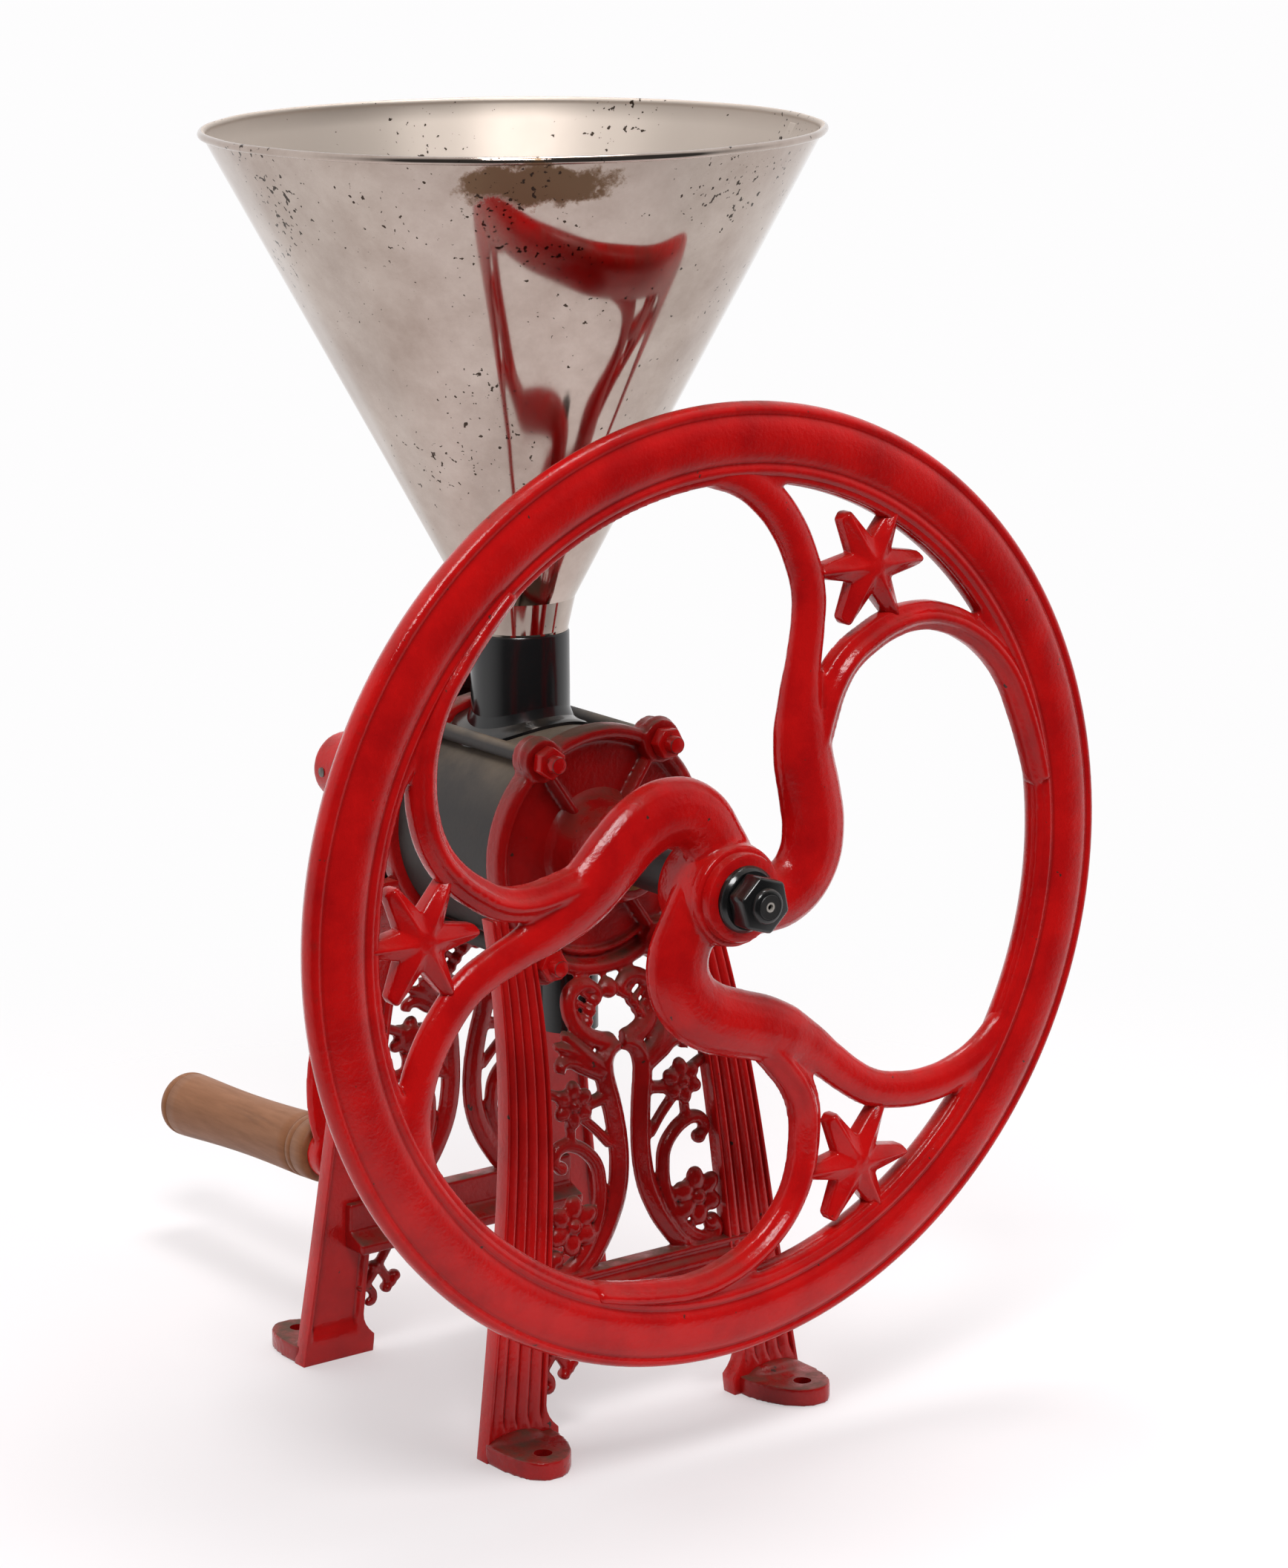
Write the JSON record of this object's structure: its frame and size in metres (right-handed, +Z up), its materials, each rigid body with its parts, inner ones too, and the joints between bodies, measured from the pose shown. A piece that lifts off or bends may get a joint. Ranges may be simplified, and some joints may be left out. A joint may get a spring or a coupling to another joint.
{
  "type": "manual coffee grinder",
  "caption": "Cast iron hand grinder on ornamental legs: spoked flywheel, crank with a turned wooden grip, burr drum, grind adjusting wheel and a lift-off tinplate funnel.",
  "frame": {"origin": "centre of the four foot bolt holes, on the floor", "axes": "+Z up, -Y towards the flywheel side, +X to the right as seen from the flywheel side"},
  "size_m": [0.46, 0.4922, 0.6257],
  "materials": {
    "red_paint": "gloss",
    "black_enamel": "gloss",
    "dull_drum": "matte",
    "dark_steel": "satin",
    "bush_bronze": "satin",
    "tinplate": "satin",
    "grip_wood": "satin"
  },
  "bodies": {
    "stand": {"front_frame": "red_paint", "rear_frame": "red_paint", "tie_rods": "dark_steel", "front_tie_nuts": "red_paint", "rear_tie_nuts": "red_paint", "drum_shell": "dull_drum", "neck_tube": "black_enamel", "outlet_spout": "black_enamel", "front_bush": "bush_bronze", "rear_bush": "bush_bronze", "fixed_burr": "dark_steel", "burr_dowels": "dark_steel"},
    "drive": {"main_shaft": "dark_steel", "flywheel": "red_paint", "flywheel_key": "dark_steel", "flywheel_washer": "black_enamel", "flywheel_nut": "black_enamel", "turning_burr": "dark_steel", "burr_pin": "dark_steel", "feed_auger": "dark_steel", "auger_pin": "dark_steel", "thrust_washer": "bush_bronze", "shaft_collar": "dark_steel", "collar_set_screw": "dark_steel", "crank_arm": "red_paint", "crank_cross_pin": "dark_steel", "grip_pin": "dark_steel"},
    "grip": {"wooden_grip": "grip_wood"},
    "adjuster": {"adjusting_wheel": "black_enamel"},
    "funnel": {"funnel_cone": "tinplate", "funnel_rim_wire": "dark_steel", "funnel_collar": "tinplate"}
  },
  "joints": [
    {"name": "drive_spin", "type": "hinge", "parent": "stand", "child": "drive", "pos_m": [0, 0, 0.2815], "axis": [0, 1, 0], "continuous": true},
    {"name": "grip_spin", "type": "hinge", "parent": "drive", "child": "grip", "pos_m": [-0.02706, 0.147, 0.08132], "axis": [0, 0.9979, -0.0645], "continuous": true},
    {"name": "adjuster_turn", "type": "hinge", "parent": "stand", "child": "adjuster", "pos_m": [0, 0, 0.2815], "axis": [0, 1, 0], "range_deg": [-180, 180]},
    {"name": "funnel_lift", "type": "slide", "parent": "stand", "child": "funnel", "axis": [0, 0, 1], "range_m": [0, 0.06]}
  ]
}
